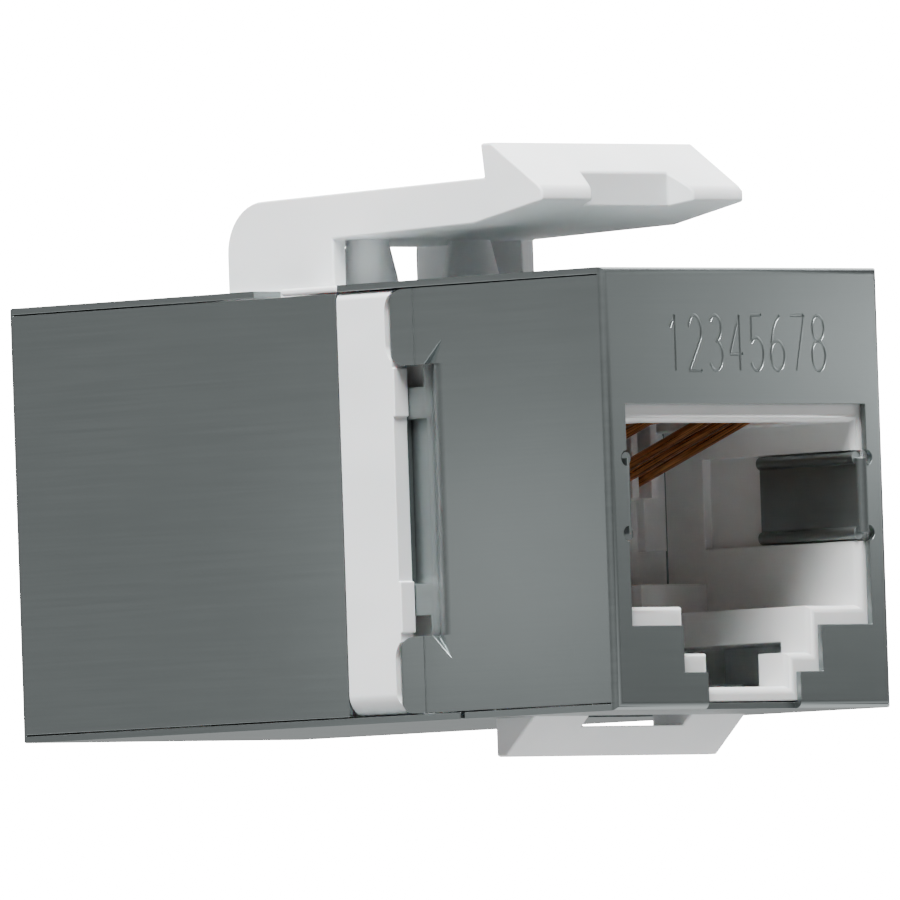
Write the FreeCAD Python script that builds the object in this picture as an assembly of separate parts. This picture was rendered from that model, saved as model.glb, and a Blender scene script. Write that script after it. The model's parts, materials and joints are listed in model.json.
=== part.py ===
import FreeCAD, Part
import math
import os

# Shielded feed-through keystone jack with a modular port at each end.
# +X is to the right seen from the front, +Y to the rear and +Z up.
# Pieces are drawn with z measured from the bottom of the body, and moved at
# export so that the origin is the centre of the front face.  Millimetres.

Vector = FreeCAD.Vector

# Body and shields
body_width = 14.5
body_height = 16.3
body_length = 31.5
sheet = 0.25                   # thickness of the shield sheet
bend_radius = 0.3              # outside radius of a folded edge
seam = 0.05                    # gap between two folded flanges
fit_gap = 0.05                 # gap between fixed pieces that slip together

# Front shield
top_flange_end = 13.9          # rear edge of the top flange
bottom_flange_end = 7.95       # rear edge of the bottom flange at its corners
side_flat_end = 8.45           # where the side starts to step inward
lip_start = 10.3               # where the side has stepped inward
lip_end = 12.6                 # end of the lip, under the band
lip_step = 0.75                # how far the lip lies inside the side
lip_corner = 0.8               # square relief at each corner of the lip
window_height = 6.1            # window in the lip
tab_end = 11.4                 # rear end of the corner tabs
tab_height = 2.83
tab_corner = 0.85
tab_start = 8.78               # where a tab starts to lean inward
tab_crease = 9.95              # fine crease across a tab
tab_lean = 0.03                # how far a tab lies inside the side from its crease on
tab_tuck = 0.37                # how far the bent end of a tab reaches into the band
shear_start = 8.45             # diagonal crease between a tab and the stepped side
shear_end = 9.45
shear_height = 0.91
shear_depth = 0.3

# Port opening in the sheet, and the plastic mouth behind it
port_side = 0.95               # sheet left at each side of the port
port_top = 11.25
port_floor = 3.1
port_step_half = 3.63
port_step_floor = 1.37
port_key_half = 2.42
lip_side_width = 0.35          # plastic that shows inside the sheet, at the sides
lip_floor_width = 0.7          # the same along each floor
lip_top_width = 0.65           # the same along the top
mouth_key_floor = 0.83
mouth_round = 0.3              # rounding of the mouth's front edges
mouth_depth = 10.2
step_depth = 8.2               # depth of the stepped floor
ledge_inner = 2.5              # ledge at the rear of the floor, each side of the middle
ledge_height = 1.13
lever_room_front = 1.85        # room for a plug's locking lever, open to the shield
lever_room_top = 2.5
tray_wall = 0.35               # tray that closes the lever room over the hook's window

# Rear shield
rear_flange_start = 18.3       # front edge of the top flange at its sides

# Ground tabs folded into the port
ground_tab_low = 6.48
ground_tab_high = 9.26
ground_tab_depth = 5.3
ground_pocket_depth = 8.2      # groove in the mouth's side that the tab lies in
ground_notch_radius = 0.29
ground_bead_radius = 0.24
ground_bead_inset = 0.05       # how far a bead's axis lies inside the tab's face

# Ground bridges between the two shields
bridge_height = 7.0
bridge_start = 10.4
bridge_end = 17.4
bridge_step_start = 14.2
bridge_step_length = 1.7

# Clip frame: band, tongue, legs, posts and hook
band_front = 11.15
band_length = 2.78
band_wall = 0.73
band_top_corner = 0.3
band_bottom_corner = 0.8
pad_depth = 0.1                # pads on the band's front wall, at each side
low_pad = (3.3, 5.2)
high_pad = (11.3, 13.1)
tongue_half_width = 5.5
tongue_thickness = 1.1
tongue_end = 21.75
shoulder_end = 16.9
leg_front = 16.0
leg_rear = 21.6
leg_half_width = 5.3
leg_thickness = 0.7
leg_corner = 1.9
post_x = 2.68
post_y = 16.8
post_base_radius = 1.2
post_top_radius = 0.78
hook_half_width = 5.55
hook_front = 5.98
hook_rear = 8.05
hook_depth = 1.43
hook_foot = 0.5                # flat length along the bottom of the hook
hook_window_half = 2.65
hook_window_height = 0.36
rail_thickness = 0.8

# Latch arm, with its heights above the top of the body
arm_rear_rise = 3.42           # top of the arm at its rear bend
arm_front_rise = 3.69          # top of the arm at the catch
under_rear_rise = 1.84         # underside of the arm at the legs
under_front_rise = 2.02        # underside where it turns up to the nose
catch_rise = 4.97
catch_rear = 8.1
catch_lean = 0.15
catch_flat = 0.55
nose_front = 4.95
nose_top_rise = 3.32
nose_under_rise = 2.7
nose_round = 0.22
under_knee = 8.55              # where the underside starts to rise to the nose
thumb_half_width = 2.65
thumb_depth = 0.95
thumb_taper = 0.4
flex_y = 14.9                  # place of the latch's flexing line
flex_gap = 0.08

# Contact wires
contact_count = 8
contact_pitch = 1.016
wire = 0.44                    # side of the square wire
wire_bend = 0.45               # centre-line radius of the front bend
wire_bend_y = 2.03
lead_z = 12.3
finger_slope = 20.35           # degrees below the horizontal
raised_slope = 8.0             # the same for the raised middle pair
finger_end = 9.6
wire_tip = 0.2                 # length of the tapered tip
wire_split = 0.05              # gap where a wire is split for its flexing joint
raised_pair = (4, 5)

# Housings, contact carriers and circuit board
housing_front_gap = 0.05
neck_start = 8.3               # where a housing narrows to pass the band
chamber_half_width = 4.45
chamber_front = 1.2
chamber_top = 13.5
carrier_plate = 0.8
comb_rib = 0.36
comb_depth = 1.4
comb_bottom = 8.15
comb_top = 12.0
guide_inner = 4.45             # flat guide at each side of the comb
guide_outer = 5.6
guide_depth = 0.4
guide_bottom = 6.2
board_thickness = 1.2
board_gap = 0.05

port_half_width = body_width / 2 - port_side
mouth_half_width = port_half_width - lip_side_width
mouth_step_half = port_step_half - lip_side_width
mouth_key_half = port_key_half - lip_side_width
mouth_top = port_top - lip_top_width
mouth_floor = port_floor + lip_floor_width
mouth_step_floor = port_step_floor + lip_floor_width
arm_rear_top = body_height + arm_rear_rise
arm_front_top = body_height + arm_front_rise
arm_rear_under = body_height + under_rear_rise
arm_front_under = body_height + under_front_rise
catch_top = body_height + catch_rise
nose_top = body_height + nose_top_rise
nose_under = body_height + nose_under_rise
half_width = body_width / 2
mid_length = body_length / 2
inner_half = half_width - sheet
band_rear = band_front + band_length
ring_bottom = sheet + fit_gap
ring_top = body_height - sheet - fit_gap
ring_floor = ring_bottom + rail_thickness
tongue_bottom = body_height - tongue_thickness
lip_half = half_width - lip_step
bridge_half = lip_half - sheet - fit_gap / 2
core_half = bridge_half - sheet - fit_gap
core_bottom = ring_floor + fit_gap
core_top = tongue_bottom - fit_gap
window_middle = body_height / 2


def box(x0, x1, y0, y1, z0, z1):
    return Part.makeBox(x1 - x0, y1 - y0, z1 - z0, Vector(x0, y0, z0))


def mirrored(shape):
    return shape.mirror(Vector(0, 0, 0), Vector(1, 0, 0))


def both_sides(shape):
    return shape.fuse(mirrored(shape))


def to_rear(shape):
    return shape.mirror(Vector(0, mid_length, 0), Vector(0, 1, 0))


def edges_where(shape, test):
    return [edge for edge in shape.Edges if test(edge.BoundBox)]


def flat_edges(shape, y=None, z=None):
    """Edges that lie at one y, at one z, or along the line where both hold."""
    def lies(limits):
        at_y = y is None or (abs(limits.YMin - y) < 1e-6 and abs(limits.YMax - y) < 1e-6)
        at_z = z is None or (abs(limits.ZMin - z) < 1e-6 and abs(limits.ZMax - z) < 1e-6)
        return at_y and at_z
    return edges_where(shape, lies)


def side_profile(points):
    """Closed face in the YZ plane from (y, z) points."""
    corners = [Vector(0, y, z) for y, z in points]
    return Part.Face(Part.makePolygon(corners + corners[:1]))


def across(face, half):
    """Extrude a YZ face to a given half width each side of the middle."""
    moved = face.copy()
    moved.translate(Vector(-half, 0, 0))
    return moved.extrude(Vector(2 * half, 0, 0))


def joggle_path(x_start, x_end, y_from, y_start, y_end, y_to, offset=0.0):
    """Two straight runs joined by an S of two equal arcs, shifted by an offset in x."""
    run, step = y_end - y_start, abs(x_start - x_end)
    inward = 1 if x_start > x_end else -1
    radius = (run ** 2 + step ** 2) / (4 * step)
    turn = math.asin(run / 2 / radius)
    first_x = x_start - inward * radius
    last_x = x_end + inward * radius
    first_radius = radius - inward * offset
    last_radius = radius + inward * offset

    def first(angle):
        return Vector(first_x + inward * first_radius * math.cos(angle),
                      y_start + first_radius * math.sin(angle), 0)

    def last(angle):
        return Vector(last_x - inward * last_radius * math.cos(angle),
                      y_end - last_radius * math.sin(angle), 0)

    edges = [
        Part.LineSegment(Vector(x_start - offset, y_from, 0), first(0)).toShape(),
        Part.Arc(first(0), first(turn / 2), first(turn)).toShape(),
        Part.Arc(last(turn), last(turn / 2), last(0)).toShape(),
        Part.LineSegment(last(0), Vector(x_end - offset, y_to, 0)).toShape(),
    ]
    return edges


def prism(edges, z0, z1):
    wire = Part.Wire(Part.__sortEdges__(edges))
    face = Part.Face(wire)
    face.translate(Vector(0, 0, z0))
    return face.extrude(Vector(0, 0, z1 - z0))


def line(x0, y0, x1, y1):
    return Part.LineSegment(Vector(x0, y0, 0), Vector(x1, y1, 0)).toShape()


def stepped_sheet(x_start, x_end, y_from, y_start, y_end, y_to, z0, z1):
    """A strip of sheet on the right side, stepped sideways by an S bend."""
    run = (x_start, x_end, y_from, y_start, y_end, y_to)
    edges = joggle_path(*run) + joggle_path(*run, offset=sheet)
    edges.append(line(x_start, y_from, x_start - sheet, y_from))
    edges.append(line(x_end, y_to, x_end - sheet, y_to))
    return prism(edges, z0, z1)


def port_prism(half, top, floor, step_half, step_floor, key_half, key_floor, y0, y1, step_y1, key_y1):
    """The stepped outline of a modular port: mouth, shoulder step and key slot."""
    mouth = box(-half, half, y0, y1, floor, top)
    step = box(-step_half, step_half, y0, step_y1, step_floor, top)
    key = box(-key_half, key_half, y0, key_y1, key_floor, top)
    return mouth.fuse([step, key]).removeSplitter()


def folded_shell(length):
    """An open box of folded sheet with its wall at the front, before its flanges are cut."""
    outer = box(-half_width, half_width, 0, length, 0, body_height)
    outer = outer.makeFillet(bend_radius, flat_edges(outer, y=0))
    inner = box(-inner_half, inner_half, sheet, length + 1, sheet, body_height - sheet)
    shell = outer.cut(inner)
    for z0 in (sheet, body_height - sheet - seam):
        slot = box(inner_half, half_width + 1, bend_radius, length + 1, z0, z0 + seam)
        shell = shell.cut(both_sides(slot))
    return shell


def port_opening():
    opening = port_prism(port_half_width, port_top, port_floor, port_step_half, port_step_floor,
                         port_key_half, -1, -1, sheet, sheet, sheet)
    bend_cut = box(-port_key_half, port_key_half, -1, bend_radius + seam, -1, port_step_floor)
    notches = []
    for z in (ground_tab_low, ground_tab_high):
        notch = Part.makeCylinder(ground_notch_radius, sheet + 1, Vector(port_half_width, -0.5, z),
                                  Vector(0, 1, 0))
        notches += [notch, mirrored(notch)]
    return opening.fuse([bend_cut] + notches)


def ground_tab():
    """Right-hand tab of the port, bent inward from the wall and hemmed on both long edges."""
    height = ground_tab_high - ground_tab_low
    centre = Vector(port_half_width, bend_radius, ground_tab_low)
    ring = Part.makeCylinder(bend_radius, height, centre)
    hole = Part.makeCylinder(bend_radius - sheet, height, centre)
    plate_x = port_half_width - bend_radius
    quarter = box(plate_x, port_half_width, 0, bend_radius, ground_tab_low, ground_tab_high)
    bend = ring.cut(hole).common(quarter)
    plate = box(plate_x, plate_x + sheet, bend_radius, ground_tab_depth, ground_tab_low, ground_tab_high)
    beads = []
    for z in (ground_tab_low, ground_tab_high):
        base = Vector(plate_x + ground_bead_inset, bend_radius, z)
        beads.append(Part.makeCylinder(ground_bead_radius, ground_tab_depth - bend_radius, base,
                                       Vector(0, 1, 0)))
    return bend.fuse([plate] + beads)


def tab_outline(z0, x_from, x_to, y_from, clearance=0.0):
    """Side outline of a corner tab, rounded at its rear end, as a block from x_from to x_to."""
    block = box(x_from, x_to, y_from, tab_end + clearance, z0 - clearance, z0 + tab_height + clearance)
    rear_edges = edges_where(block, lambda b: b.XLength > sheet / 2 and b.YMin > tab_end - 0.1)
    return block.makeFillet(tab_corner, rear_edges)


def tab_bottom(lower):
    return sheet + seam if lower else body_height - sheet - seam - tab_height


def tab_notch(lower):
    """Room for the right-hand tab in the band's side."""
    return tab_outline(tab_bottom(lower), half_width - tab_lean - tab_tuck - fit_gap, half_width + fit_gap,
                       side_flat_end, fit_gap)


def corner_tab(lower):
    """Right-hand tongue that holds the band at one corner: creased, with its end bent inward."""
    z0 = tab_bottom(lower)
    start = side_flat_end - 0.5
    face_x = half_width - tab_lean
    back_x = face_x - sheet
    tuck_x = face_x - tab_tuck
    bend_y = tab_end - bend_radius
    slant = bend_radius * math.sqrt(0.5)
    inner = bend_radius - sheet
    inner_slant = inner * math.sqrt(0.5)
    bend_x = face_x - bend_radius
    edges = [
        line(half_width, start, half_width, tab_start),
        line(half_width, tab_start, face_x, tab_crease),
        line(face_x, tab_crease, face_x, bend_y),
        Part.Arc(Vector(face_x, bend_y, 0), Vector(bend_x + slant, bend_y + slant, 0),
                 Vector(bend_x, tab_end, 0)).toShape(),
        line(bend_x, tab_end, tuck_x, tab_end),
        line(tuck_x, tab_end, tuck_x, tab_end - sheet),
        line(tuck_x, tab_end - sheet, bend_x, tab_end - sheet),
        Part.Arc(Vector(bend_x, tab_end - sheet, 0),
                 Vector(bend_x + inner_slant, bend_y + inner_slant, 0),
                 Vector(back_x, bend_y, 0)).toShape(),
        line(back_x, bend_y, back_x, tab_crease),
        line(back_x, tab_crease, inner_half, tab_start),
        line(inner_half, tab_start, inner_half, start),
        line(inner_half, start, half_width, start),
    ]
    strip = prism(edges, z0, z0 + tab_height)
    return strip.common(tab_outline(z0, tuck_x, half_width, start))


def sheared_corner(lower, shift=0.0):
    """Wedge at the corner between a tab and the stepped side, where the sheet is drawn inward."""
    z0 = tab_bottom(lower) + (tab_height if lower else 0)
    rise = -shear_height if lower else shear_height
    outer = half_width + shift
    tip = Vector(outer, shear_start, z0 + rise)
    heel = Vector(outer, tab_start, z0)
    top = Vector(outer, shear_end, z0)
    deep = Vector(outer - shear_depth, shear_end, z0)
    faces = [Part.Face(Part.makePolygon([a, b, c, a]))
             for a, b, c in ((tip, heel, top), (tip, heel, deep), (tip, top, deep), (heel, top, deep))]
    return Part.Solid(Part.Shell(faces))


def front_shield():
    shell = folded_shell(top_flange_end)
    side_cut = box(inner_half - 0.1, half_width + 1, side_flat_end, body_length, -1,
                   body_height - sheet)
    floor_cut = box(-half_width - 1, half_width + 1, bottom_flange_end, body_length, -1, sheet + seam)
    hook_cut = box(-hook_half_width - fit_gap, hook_half_width + fit_gap, hook_front - fit_gap,
                   body_length, -1, sheet + seam / 2)
    shell = shell.cut([both_sides(side_cut), floor_cut, hook_cut, port_opening()])
    side_low = tab_bottom(True) + tab_height
    side_high = tab_bottom(False)
    side = stepped_sheet(half_width, lip_half, side_flat_end - sheet, side_flat_end, lip_start,
                         lip_end, side_low, side_high)
    corner_y = lip_start - fit_gap
    for z in (side_low, side_high - lip_corner):
        side = side.cut(box(0, half_width, corner_y, lip_end + 1, z, z + lip_corner))
    side = side.cut(box(0, half_width, corner_y - 0.1, band_front + fit_gap,
                        window_middle - window_height / 2, window_middle + window_height / 2))
    pieces = [side, ground_tab()]
    for lower in (True, False):
        tab = corner_tab(lower).fuse(sheared_corner(lower, -sheet))
        pieces.append(tab.cut(sheared_corner(lower)))
        shell = shell.cut(both_sides(sheared_corner(lower)))
    pieces += [mirrored(piece) for piece in pieces]
    return shell.fuse(pieces).removeSplitter()


def rear_shield():
    length = body_length - band_rear - fit_gap
    shell = folded_shell(length)
    shell = shell.cut(port_opening())
    shell = shell.fuse([ground_tab(), mirrored(ground_tab())])
    shell = to_rear(shell)
    floor_start = hook_rear + 2 * fit_gap
    floor = box(-half_width, half_width, floor_start, band_rear + 1, 0, sheet)
    notch_half = leg_half_width + 2 * sheet
    edge_cut = box(-half_width - 1, half_width + 1, 0, rear_flange_start,
                   body_height - sheet - seam / 2, body_height + 1)
    notch = box(-notch_half, notch_half, 0, tongue_end + fit_gap, body_height - sheet - seam / 2,
                body_height + 1)
    return shell.fuse(floor).cut([edge_cut, notch]).removeSplitter()


def ground_bridge():
    """Right-hand strip that joins the lip of the front shield to the rear shield."""
    outer_end = inner_half - fit_gap / 2
    z0 = window_middle - bridge_height / 2
    return stepped_sheet(bridge_half, outer_end, bridge_start, bridge_step_start,
                         bridge_step_start + bridge_step_length, bridge_end, z0, z0 + bridge_height)


def arm_top(y):
    rear = leg_rear - leg_corner
    share = (rear - y) / (rear - catch_rear)
    return arm_rear_top + share * (arm_front_top - arm_rear_top)


def arm_under(y):
    share = (leg_front - y) / (leg_front - under_knee)
    return arm_rear_under + share * (arm_front_under - arm_rear_under)


flex_radius = (arm_top(flex_y) - arm_under(flex_y)) / 2
flex_z = (arm_top(flex_y) + arm_under(flex_y)) / 2


def band():
    ring = box(-half_width, half_width, band_front, band_rear, ring_bottom, ring_top)
    for z, radius in ((ring_top, band_top_corner), (ring_bottom, band_bottom_corner)):
        corner = edges_where(ring, lambda b: b.YLength > 1 and abs(b.ZMin - z) < 1e-6 and
                             b.XLength < 1e-6)
        ring = ring.makeFillet(radius, corner)
    ring = ring.cut(box(-half_width + band_wall, half_width - band_wall, band_front - 1, band_rear + 1,
                        ring_floor, tongue_bottom))
    pads = [box(half_width - band_wall, half_width, band_front - pad_depth, band_front, *pad)
            for pad in (low_pad, high_pad)]
    ring = ring.fuse(pads + [mirrored(pad) for pad in pads])
    notches = [tab_notch(True), tab_notch(False)]
    return ring.cut(notches + [mirrored(notch) for notch in notches])


def hook():
    foot = hook_rear - hook_foot
    bar = across(side_profile([(hook_front, ring_floor), (hook_front, 0), (foot, -hook_depth),
                               (hook_rear, -hook_depth), (hook_rear, ring_floor)]), hook_half_width)
    rails = box(-hook_half_width, hook_half_width, hook_rear - 0.5, band_front + 0.5, ring_bottom,
                ring_floor)
    gap = box(-hook_window_half, hook_window_half, 0, band_front, -hook_window_height, ring_floor + 1)
    return bar.fuse(rails).cut(gap)


def latch_legs():
    """Two side legs under the fixed rear end of the arm, and the seat of its flexing line."""
    bend_y = leg_rear - leg_corner
    bend_z = arm_rear_top - leg_corner
    slant = leg_corner * math.sqrt(0.5)
    seat_y = flex_y + flex_radius * 0.6
    outline = [
        Part.LineSegment(Vector(0, leg_rear, tongue_bottom), Vector(0, leg_rear, bend_z)).toShape(),
        Part.Arc(Vector(0, leg_rear, bend_z), Vector(0, bend_y + slant, bend_z + slant),
                 Vector(0, bend_y, arm_rear_top)).toShape(),
        Part.makePolygon([Vector(0, bend_y, arm_rear_top), Vector(0, seat_y, arm_top(seat_y)),
                          Vector(0, seat_y, arm_under(seat_y)), Vector(0, leg_front, arm_rear_under),
                          Vector(0, leg_front, tongue_bottom),
                          Vector(0, leg_rear, tongue_bottom)]),
    ]
    legs = across(Part.Face(Part.Wire(outline)), leg_half_width)
    inside = leg_half_width - leg_thickness
    legs = legs.cut(box(-inside, inside, 0, body_length, 0, arm_rear_under))
    seat = Part.makeCylinder(flex_radius + flex_gap, body_width, Vector(-half_width, flex_y, flex_z),
                             Vector(1, 0, 0))
    return legs.cut(seat)


def clip_frame():
    shoulder = box(-half_width, half_width, top_flange_end + fit_gap, shoulder_end,
                   ring_top + fit_gap, body_height)
    tongue = box(-tongue_half_width, tongue_half_width, band_rear - 0.1, tongue_end, tongue_bottom,
                 body_height)
    link = box(-tongue_half_width, tongue_half_width, band_front + 0.1, band_rear, tongue_bottom,
               ring_top)
    tongue_cut = box(-half_width, half_width, 0, top_flange_end + fit_gap, ring_top, body_height + 1)
    tongue = tongue.cut(tongue_cut)
    posts = []
    for x in (-post_x, post_x):
        posts.append(Part.makeCone(post_base_radius, post_top_radius, arm_rear_under - body_height + 0.05,
                                   Vector(x, post_y, body_height - 0.05)))
    posts.append(box(-leg_half_width, leg_half_width, post_y - post_top_radius, leg_front + 1,
                     arm_rear_under, arm_rear_under + 0.1))
    return band().fuse([shoulder, tongue, link, latch_legs(), hook()] + posts).removeSplitter()


def latch_arm():
    """Arm with its catch and nose; its rear end is round about the flexing line."""
    catch_front = catch_rear - catch_flat
    top_start = Vector(0, flex_y, flex_z + flex_radius)
    top_end = Vector(0, flex_y, flex_z - flex_radius)
    slope_y = nose_front + nose_round
    points = [top_start,
              Vector(0, catch_rear - catch_lean, arm_top(catch_rear)),
              Vector(0, catch_rear, catch_top),
              Vector(0, catch_front, catch_top),
              Vector(0, slope_y, nose_top),
              Vector(0, nose_front, nose_top - nose_round),
              Vector(0, nose_front, nose_under),
              Vector(0, under_knee, arm_front_under),
              top_end]
    rear = Part.Arc(top_end, Vector(0, flex_y + flex_radius, flex_z), top_start).toShape()
    arm = across(Part.Face(Part.Wire([Part.makePolygon(points), rear])), leg_half_width)
    thumb = [(-thumb_half_width, nose_front - 0.01), (thumb_half_width, nose_front - 0.01),
             (thumb_half_width - thumb_taper, nose_front + thumb_depth),
             (thumb_taper - thumb_half_width, nose_front + thumb_depth)]
    corners = [Vector(x, y, 0) for x, y in thumb]
    scoop = Part.Face(Part.makePolygon(corners + corners[:1])).extrude(Vector(0, 0, 2 * body_height))
    return arm.cut(scoop)


def contact_x(number):
    return (number - (contact_count + 1) / 2) * contact_pitch


def contact_lead(number):
    """Fixed part of one wire: along the carrier to the board, and round the front bend."""
    x = contact_x(number)
    slope = raised_slope if number in raised_pair else finger_slope
    board_face = mid_length - board_thickness / 2
    straight = box(x - wire / 2, x + wire / 2, wire_bend_y, board_face, lead_z - wire / 2,
                   lead_z + wire / 2)
    corners = [Vector(x + side * wire / 2, wire_bend_y, lead_z + rise * wire / 2)
               for side, rise in ((-1, -1), (1, -1), (1, 1), (-1, 1))]
    section = Part.Face(Part.makePolygon(corners + corners[:1]))
    turn = 180 - slope - math.degrees(wire_split / wire_bend)
    bend = section.revolve(Vector(x, wire_bend_y, lead_z - wire_bend), Vector(1, 0, 0), turn)
    return straight.fuse(bend).removeSplitter()


def contact_finger(number):
    """Sprung part of one wire: from the front bend down into the port, with a tapered tip."""
    slope = math.radians(raised_slope if number in raised_pair else finger_slope)
    start_y = wire_bend_y - wire_bend * math.sin(slope)
    start_z = lead_z - wire_bend - wire_bend * math.cos(slope)
    length = (finger_end - start_y) / math.cos(slope)

    def at(along, off):
        return (start_y + along * math.cos(slope) + off * math.sin(slope),
                start_z - along * math.sin(slope) + off * math.cos(slope))

    outline = [at(0, -wire / 2), at(length - wire_tip, -wire / 2), at(length, -wire / 4),
               at(length, wire / 4), at(length - wire_tip, wire / 2), at(0, wire / 2)]
    finger = across(side_profile(outline), wire / 2)
    finger.translate(Vector(contact_x(number), 0, 0))
    return finger


def jack_housing():
    """Front housing: moulded block with the port's mouth and a chamber for the wires."""
    front = sheet + housing_front_gap
    side = joggle_path(half_width, lip_half, front, side_flat_end, lip_start, lip_end,
                       offset=sheet + fit_gap)
    wide = inner_half - fit_gap
    narrow = lip_half - sheet - fit_gap
    outline = side + [edge.mirror(Vector(0, 0, 0), Vector(1, 0, 0)) for edge in side]
    outline += [line(-wide, front, wide, front), line(-narrow, lip_end, narrow, lip_end)]
    block = prism(outline, ring_bottom, ring_top)
    block = block.cut(box(-half_width, half_width, mouth_depth, body_length, 0, body_height))
    block = block.cut(box(-half_width, half_width, neck_start, body_length, core_top, body_height))
    block = block.cut(box(-half_width, half_width, hook_front - 2 * fit_gap, body_length, 0, core_bottom))
    mouth = port_prism(mouth_half_width, mouth_top, mouth_floor, mouth_step_half, mouth_step_floor,
                       mouth_key_half, mouth_key_floor, 0, body_length, step_depth, lever_room_front)
    block = block.cut(mouth)
    block = block.makeFillet(mouth_round, edges_where(block, lambda b: (
        abs(b.YMax - front) < 1e-6 and max(abs(b.XMin), abs(b.XMax)) < wide - 0.1
        and b.ZMin > ring_bottom + 0.1 and b.ZMax < ring_top - 0.1)))
    chamber = box(-chamber_half_width, chamber_half_width, chamber_front, body_length,
                  mouth_top - 0.1, chamber_top)
    bead = ground_bead_radius + fit_gap
    bead_x = port_half_width - bend_radius + ground_bead_inset
    pocket = box(mouth_half_width - bead, bead_x + bead, 0, ground_pocket_depth,
                 ground_tab_low - bead, ground_tab_high + bead)
    bend_room = box(mouth_half_width - bead, port_half_width + sheet, 0, bend_radius + fit_gap,
                    ground_tab_low - bead, ground_tab_high + bead)
    lever_room = box(-half_width, half_width, lever_room_front, step_depth, 0, lever_room_top)
    tray_half = hook_window_half + tray_wall
    lever_room = lever_room.cut(box(-tray_half, tray_half, hook_front - 2 * fit_gap - tray_wall, step_depth,
                                    0, core_bottom + tray_wall))
    block = block.cut([chamber, both_sides(pocket), both_sides(bend_room), lever_room])
    ledge = box(ledge_inner, mouth_half_width, step_depth, mouth_depth, mouth_floor - sheet,
                mouth_floor + ledge_height)
    return block.fuse(both_sides(ledge)).removeSplitter()


def rear_housing():
    """The same moulding turned to the rear port, relieved for the clip frame's tongue."""
    relief = box(-tongue_half_width - fit_gap, tongue_half_width + fit_gap, 0, tongue_end + fit_gap,
                 core_top, body_height)
    return to_rear(jack_housing()).cut(relief).removeSplitter()


def contact_carrier():
    """Moulded block behind the port, with a plate over the wires and a comb for their tips."""
    rear = mid_length - board_thickness / 2 - board_gap
    front = mouth_depth + fit_gap
    block = box(-core_half, core_half, front, rear, core_bottom, core_top)
    plate_bottom = lead_z + wire / 2 + fit_gap / 2
    plate_half = chamber_half_width - fit_gap
    pieces = [box(-plate_half, plate_half, chamber_front + fit_gap, front, plate_bottom,
                  plate_bottom + carrier_plate)]
    for gap in range(contact_count + 1):
        x = contact_x(gap + 0.5)
        pieces.append(box(x - comb_rib / 2, x + comb_rib / 2, front - comb_depth, front, comb_bottom,
                          comb_top))
    guide = box(guide_inner, guide_outer, front - guide_depth, front, guide_bottom,
                mouth_top - fit_gap)
    block = block.fuse(pieces + [guide, mirrored(guide)])
    tunnels = []
    room = wire / 2 + fit_gap
    for number in range(1, contact_count + 1):
        x = contact_x(number)
        tunnels.append(box(x - room, x + room, front - 1, rear + 1, lead_z - room, lead_z + room))
    return block.cut(tunnels)


def circuit_board():
    return box(-core_half, core_half, mid_length - board_thickness / 2,
               mid_length + board_thickness / 2, core_bottom, core_top)


def export(name, shape):
    placed = shape.copy()
    placed.translate(Vector(0, 0, -body_height / 2))
    if not placed.isValid():
        print("not valid:", name)
    print(name, "solids", len(placed.Solids), "volume", round(placed.Volume, 2))
    placed.exportStep("parts/" + name + ".step")


def main():
    os.makedirs("parts", exist_ok=True)
    carrier = contact_carrier()
    export("front_shield", front_shield())
    export("rear_shield", rear_shield())
    export("right_ground_bridge", ground_bridge())
    export("left_ground_bridge", mirrored(ground_bridge()))
    export("clip_frame", clip_frame())
    export("latch_arm", latch_arm())
    export("front_jack_housing", jack_housing())
    export("rear_jack_housing", rear_housing())
    export("front_contact_carrier", carrier)
    export("rear_contact_carrier", to_rear(carrier))
    export("circuit_board", circuit_board())
    for number in range(1, contact_count + 1):
        lead, finger = contact_lead(number), contact_finger(number)
        export("front_lead_%d" % number, lead)
        export("rear_lead_%d" % number, to_rear(lead))
        export("front_contact_%d" % number, finger)
        export("rear_contact_%d" % number, to_rear(finger))


main()
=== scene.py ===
import bmesh
import bpy
import json
import math
import numpy as np
from mathutils import Matrix, Vector


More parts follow.
